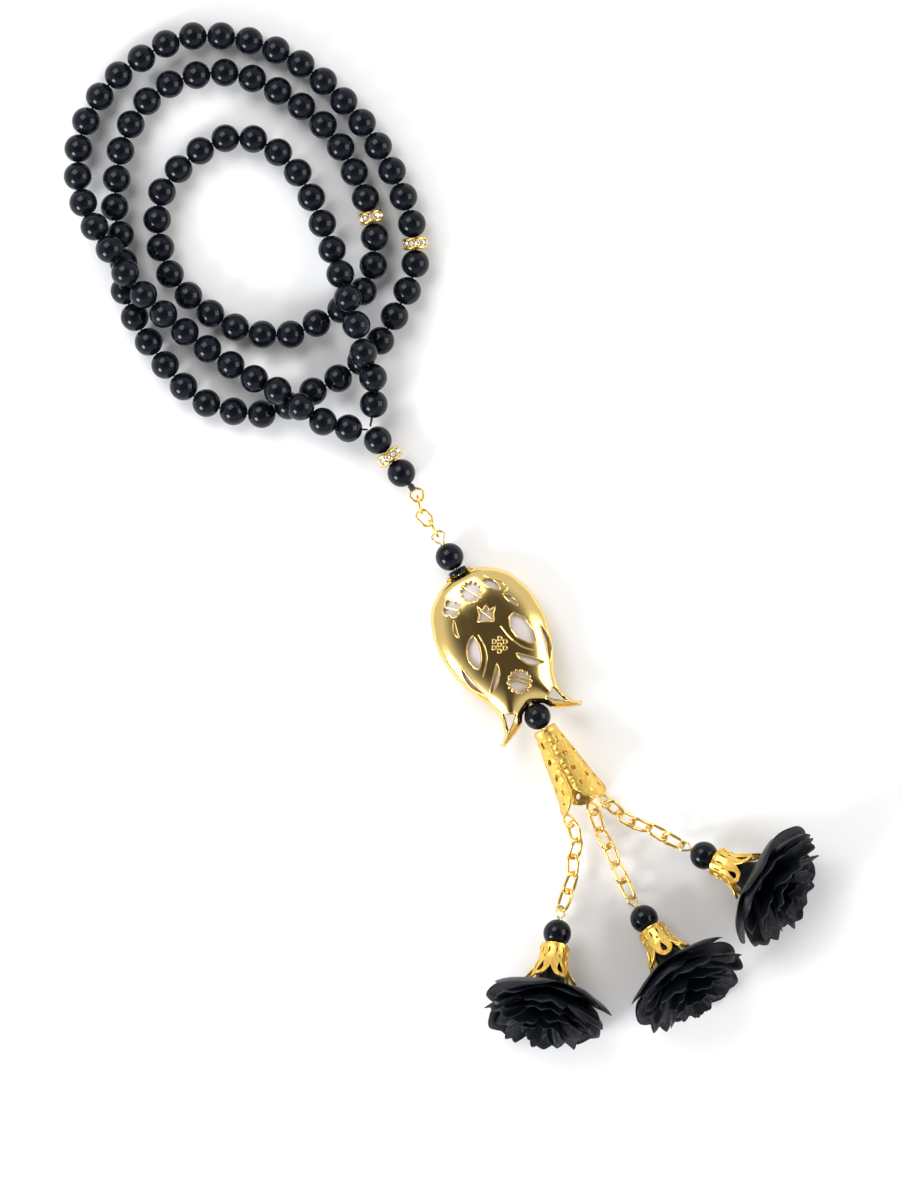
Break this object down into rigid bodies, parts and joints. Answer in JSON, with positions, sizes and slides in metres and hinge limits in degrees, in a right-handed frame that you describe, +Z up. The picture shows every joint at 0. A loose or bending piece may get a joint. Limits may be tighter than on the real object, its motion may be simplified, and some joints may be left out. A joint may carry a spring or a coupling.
{
  "type": "misbaha prayer beads",
  "caption": "Loop of round black prayer beads with gold spacer rings, a pierced gold tulip pendant, a cone with three chains, and black satin flower tassels.",
  "frame": {"origin": "on the table the beads lie on, under the middle of the box round the whole piece", "axes": "+Z up from the table; +Y from the tassels towards the far end of the loop of beads; +X to the right seen from above"},
  "size_m": [0.2115, 0.2872, 0.0316],
  "materials": {
    "thread_black": "waxed braid",
    "clear_stones": "cut and polished",
    "gold_rondelle": "gold plated, polished",
    "black_satin": "satin",
    "pearl_liner": "pearly, smooth",
    "black_bead": "polished, glassy",
    "gold_pendant": "gold plated, mirror polished",
    "gold_filigree": "gold plated, hammered",
    "gold_wire": "gold plated, polished"
  },
  "bodies": {
    "strand": {"run_1_beads_a": "black_bead", "run_1_beads_b": "black_bead", "run_1_beads_c": "black_bead", "run_2_beads_a": "black_bead", "run_2_beads_b": "black_bead", "run_2_beads_c": "black_bead", "run_3_beads_a": "black_bead", "run_3_beads_b": "black_bead", "run_3_beads_c": "black_bead", "strand_thread": "thread_black", "head_thread": "thread_black", "thread_knot": "thread_black"},
    "rondelle_1": {"rondelle_1_ring": "gold_rondelle", "rondelle_1_stones": "clear_stones"},
    "rondelle_2": {"rondelle_2_ring": "gold_rondelle", "rondelle_2_stones": "clear_stones"},
    "rondelle_3": {"rondelle_3_ring": "gold_rondelle", "rondelle_3_stones": "clear_stones"},
    "head_bead": {"head_bead": "black_bead"},
    "tail_bead": {"tail_bead": "black_bead"},
    "counting_bead": {"counting_bead": "black_bead"},
    "link_1": {"link_1": "gold_wire"},
    "link_2": {"link_2": "gold_wire"},
    "oval_ring": {"oval_ring": "gold_wire"},
    "pendant_pin": {"pendant_pin": "gold_wire"},
    "cone": {"cone": "gold_filigree"},
    "pendant_top_bead": {"pendant_top_bead": "black_bead"},
    "pendant_spacer": {"pendant_spacer": "black_bead"},
    "pendant_low_bead": {"pendant_low_bead": "black_bead"},
    "pendant": {"pendant_front_shell": "gold_pendant", "pendant_back_shell": "gold_pendant", "pendant_core": "pearl_liner"},
    "left_chain_link_1": {"left_chain_link_1": "gold_wire"},
    "left_chain_link_2": {"left_chain_link_2": "gold_wire"},
    "left_chain_link_3": {"left_chain_link_3": "gold_wire"},
    "left_chain_link_4": {"left_chain_link_4": "gold_wire"},
    "left_chain_link_5": {"left_chain_link_5": "gold_wire"},
    "left_tassel_pin": {"left_tassel_pin": "gold_wire"},
    "left_tassel_bead": {"left_tassel_bead": "black_bead"},
    "left_tassel_bell": {"left_tassel_cap": "gold_filigree", "left_tassel_flower": "black_satin"},
    "middle_chain_link_1": {"middle_chain_link_1": "gold_wire"},
    "middle_chain_link_2": {"middle_chain_link_2": "gold_wire"},
    "middle_chain_link_3": {"middle_chain_link_3": "gold_wire"},
    "middle_chain_link_4": {"middle_chain_link_4": "gold_wire"},
    "middle_chain_link_5": {"middle_chain_link_5": "gold_wire"},
    "middle_tassel_pin": {"middle_tassel_pin": "gold_wire"},
    "middle_tassel_bead": {"middle_tassel_bead": "black_bead"},
    "middle_tassel_bell": {"middle_tassel_cap": "gold_filigree", "middle_tassel_flower": "black_satin"},
    "right_chain_link_1": {"right_chain_link_1": "gold_wire"},
    "right_chain_link_2": {"right_chain_link_2": "gold_wire"},
    "right_chain_link_3": {"right_chain_link_3": "gold_wire"},
    "right_chain_link_4": {"right_chain_link_4": "gold_wire"},
    "right_chain_link_5": {"right_chain_link_5": "gold_wire"},
    "right_tassel_pin": {"right_tassel_pin": "gold_wire"},
    "right_tassel_bead": {"right_tassel_bead": "black_bead"},
    "right_tassel_bell": {"right_tassel_cap": "gold_filigree", "right_tassel_flower": "black_satin"}
  },
  "joints": [
    {"name": "rondelle_1_spin", "type": "hinge", "parent": "strand", "child": "rondelle_1", "pos_m": [-0.00771, 0.08099, 0.0039], "axis": [0.0895, -0.996, 0], "continuous": true},
    {"name": "rondelle_2_spin", "type": "hinge", "parent": "strand", "child": "rondelle_2", "pos_m": [-0.01983, 0.0884, 0.0039], "axis": [0.241, -0.9705, 0], "continuous": true},
    {"name": "rondelle_3_spin", "type": "hinge", "parent": "strand", "child": "rondelle_3", "pos_m": [-0.01486, 0.02189, 0.0039], "axis": [0.5835, -0.8121, 0], "continuous": true},
    {"name": "head_bead_spin", "type": "hinge", "parent": "strand", "child": "head_bead", "pos_m": [-0.01812, 0.02643, 0.0039], "axis": [0.5835, -0.8121, 0], "continuous": true},
    {"name": "tail_bead_spin", "type": "hinge", "parent": "strand", "child": "tail_bead", "pos_m": [-0.01159, 0.01734, 0.0039], "axis": [0.5835, -0.8121, 0], "continuous": true},
    {"name": "counting_bead_slide", "type": "slide", "parent": "strand", "child": "counting_bead", "axis": [-0.1852, -0.9262, -0.3284], "range_m": [0, 0.0012]},
    {"name": "link_1_swing", "type": "hinge", "parent": "strand", "child": "link_1", "pos_m": [-0.00674, 0.00936, 0.0039], "axis": [-0.9703, -0.2419, 0], "range_deg": [-10, 40]},
    {"name": "link_2_swing", "type": "hinge", "parent": "link_1", "child": "link_2", "pos_m": [-0.0058, 0.00557, 0.0039], "axis": [0, 0, -1], "range_deg": [-30, 30]},
    {"name": "oval_ring_swing", "type": "hinge", "parent": "link_2", "child": "oval_ring", "pos_m": [-0.00309, 0.00277, 0.0039], "axis": [-0.866, -0.5, 0], "range_deg": [-10, 40]},
    {"name": "pendant_pin_swing", "type": "hinge", "parent": "oval_ring", "child": "pendant_pin", "pos_m": [-0.00121, -0.00048, 0.0039], "axis": [-0.0269, 0.0489, 0.9984], "range_deg": [-30, 30]},
    {"name": "pendant_top_bead_spin", "type": "hinge", "parent": "pendant_pin", "child": "pendant_top_bead", "pos_m": [-0.00121, -0.00048, 0.0039], "axis": [0.481, -0.8749, 0.0558], "continuous": true},
    {"name": "pendant_spacer_spin", "type": "hinge", "parent": "pendant_pin", "child": "pendant_spacer", "pos_m": [-0.00121, -0.00048, 0.0039], "axis": [0.481, -0.8749, 0.0558], "continuous": true},
    {"name": "pendant_spin", "type": "hinge", "parent": "pendant_pin", "child": "pendant", "pos_m": [-0.00121, -0.00048, 0.0039], "axis": [0.481, -0.8749, 0.0558], "continuous": true},
    {"name": "pendant_low_bead_spin", "type": "hinge", "parent": "pendant_pin", "child": "pendant_low_bead", "pos_m": [-0.00121, -0.00048, 0.0039], "axis": [0.481, -0.8749, 0.0558], "continuous": true},
    {"name": "cone_spin", "type": "hinge", "parent": "pendant_pin", "child": "cone", "pos_m": [-0.00121, -0.00048, 0.0039], "axis": [0.481, -0.8749, 0.0558], "continuous": true},
    {"name": "left_chain_link_1_swing", "type": "hinge", "parent": "cone", "child": "left_chain_link_1", "pos_m": [0.03605, -0.08079, 0.0109], "axis": [-0.6464, -0.406, 0.646], "range_deg": [-25, 25]},
    {"name": "left_chain_link_2_swing", "type": "hinge", "parent": "left_chain_link_1", "child": "left_chain_link_2", "pos_m": [0.03688, -0.08547, 0.00878], "axis": [-0.6272, 0.4502, -0.6355], "range_deg": [-25, 25]},
    {"name": "left_chain_link_3_swing", "type": "hinge", "parent": "left_chain_link_2", "child": "left_chain_link_3", "pos_m": [0.03591, -0.09004, 0.0065], "axis": [0.7151, 0.217, -0.6645], "range_deg": [-25, 25]},
    {"name": "left_chain_link_4_swing", "type": "hinge", "parent": "left_chain_link_3", "child": "left_chain_link_4", "pos_m": [0.03574, -0.09492, 0.00473], "axis": [-0.6421, 0.3121, -0.7002], "range_deg": [-25, 25]},
    {"name": "left_chain_link_5_swing", "type": "hinge", "parent": "left_chain_link_4", "child": "left_chain_link_5", "pos_m": [0.03415, -0.09982, 0.004], "axis": [-0.656, 0.265, 0.7067], "range_deg": [-25, 25]},
    {"name": "left_tassel_swing", "type": "hinge", "parent": "left_chain_link_5", "child": "left_tassel_pin", "pos_m": [0.03247, -0.10442, 0.00417], "axis": [-0.7396, -0.1523, -0.6556], "range_deg": [-25, 25]},
    {"name": "left_tassel_bead_spin", "type": "hinge", "parent": "left_tassel_pin", "child": "left_tassel_bead", "pos_m": [0.03247, -0.10442, 0.00417], "axis": [-0.1434, -0.916, 0.3746], "continuous": true},
    {"name": "left_tassel_bell_spin", "type": "hinge", "parent": "left_tassel_pin", "child": "left_tassel_bell", "pos_m": [0.03247, -0.10442, 0.00417], "axis": [-0.1434, -0.916, 0.3746], "continuous": true},
    {"name": "middle_chain_link_1_swing", "type": "hinge", "parent": "cone", "child": "middle_chain_link_1", "pos_m": [0.04229, -0.07786, 0.00262], "axis": [0.7029, 0.1249, -0.7002], "range_deg": [-8, 25]},
    {"name": "middle_chain_link_2_swing", "type": "hinge", "parent": "middle_chain_link_1", "child": "middle_chain_link_2", "pos_m": [0.04388, -0.08276, 0.00334], "axis": [-0.6012, -0.3755, -0.7054], "range_deg": [-16, 18]},
    {"name": "middle_chain_link_3_swing", "type": "hinge", "parent": "middle_chain_link_2", "child": "middle_chain_link_3", "pos_m": [0.04632, -0.08734, 0.0037], "axis": [0.6556, 0.2649, -0.7071], "range_deg": [-12, 25]},
    {"name": "middle_chain_link_4_swing", "type": "hinge", "parent": "middle_chain_link_3", "child": "middle_chain_link_4", "pos_m": [0.04827, -0.09216, 0.0037], "axis": [-0.6355, -0.31, -0.7071], "range_deg": [-22, 25]},
    {"name": "middle_chain_link_5_swing", "type": "hinge", "parent": "middle_chain_link_4", "child": "middle_chain_link_5", "pos_m": [0.05054, -0.09684, 0.0037], "axis": [-0.646, -0.2876, 0.7071], "range_deg": [-25, 16]},
    {"name": "middle_tassel_swing", "type": "hinge", "parent": "middle_chain_link_5", "child": "middle_tassel_pin", "pos_m": [0.05254, -0.10131, 0.0037], "axis": [0.4519, 0.6049, 0.6556], "range_deg": [-25, 25]},
    {"name": "middle_tassel_bead_spin", "type": "hinge", "parent": "middle_tassel_pin", "child": "middle_tassel_bead", "pos_m": [0.05254, -0.10131, 0.0037], "axis": [0.5009, -0.7802, 0.3746], "continuous": true},
    {"name": "middle_tassel_bell_spin", "type": "hinge", "parent": "middle_tassel_pin", "child": "middle_tassel_bell", "pos_m": [0.05254, -0.10131, 0.0037], "axis": [0.5009, -0.7802, 0.3746], "continuous": true},
    {"name": "right_chain_link_1_swing", "type": "hinge", "parent": "cone", "child": "right_chain_link_1", "pos_m": [0.04641, -0.07451, 0.01211], "axis": [-0.234, -0.7756, 0.5862], "range_deg": [-25, 25]},
    {"name": "right_chain_link_2_swing", "type": "hinge", "parent": "right_chain_link_1", "child": "right_chain_link_2", "pos_m": [0.04941, -0.07761, 0.0092], "axis": [-0.6251, -0.4685, -0.6243], "range_deg": [-25, 25]},
    {"name": "right_chain_link_3_swing", "type": "hinge", "parent": "right_chain_link_2", "child": "right_chain_link_3", "pos_m": [0.05346, -0.07976, 0.00676], "axis": [-0.0365, -0.7392, 0.6725], "range_deg": [-16, 25]},
    {"name": "right_chain_link_4_swing", "type": "hinge", "parent": "right_chain_link_3", "child": "right_chain_link_4", "pos_m": [0.05811, -0.08146, 0.00515], "axis": [-0.4388, -0.5632, -0.7002], "range_deg": [-25, 16]},
    {"name": "right_chain_link_5_swing", "type": "hinge", "parent": "right_chain_link_4", "child": "right_chain_link_5", "pos_m": [0.06257, -0.08403, 0.00443], "axis": [-0.31, -0.6355, 0.7071], "range_deg": [-20, 25]},
    {"name": "right_tassel_swing", "type": "hinge", "parent": "right_chain_link_5", "child": "right_tassel_pin", "pos_m": [0.06698, -0.08618, 0.00443], "axis": [-0.0522, -0.7533, -0.6556], "range_deg": [-25, 16]},
    {"name": "right_tassel_bead_spin", "type": "hinge", "parent": "right_tassel_pin", "child": "right_tassel_bead", "pos_m": [0.06698, -0.08618, 0.00443], "axis": [0.8437, -0.3845, 0.3746], "continuous": true},
    {"name": "right_tassel_bell_spin", "type": "hinge", "parent": "right_tassel_pin", "child": "right_tassel_bell", "pos_m": [0.06698, -0.08618, 0.00443], "axis": [0.8437, -0.3845, 0.3746], "continuous": true}
  ]
}
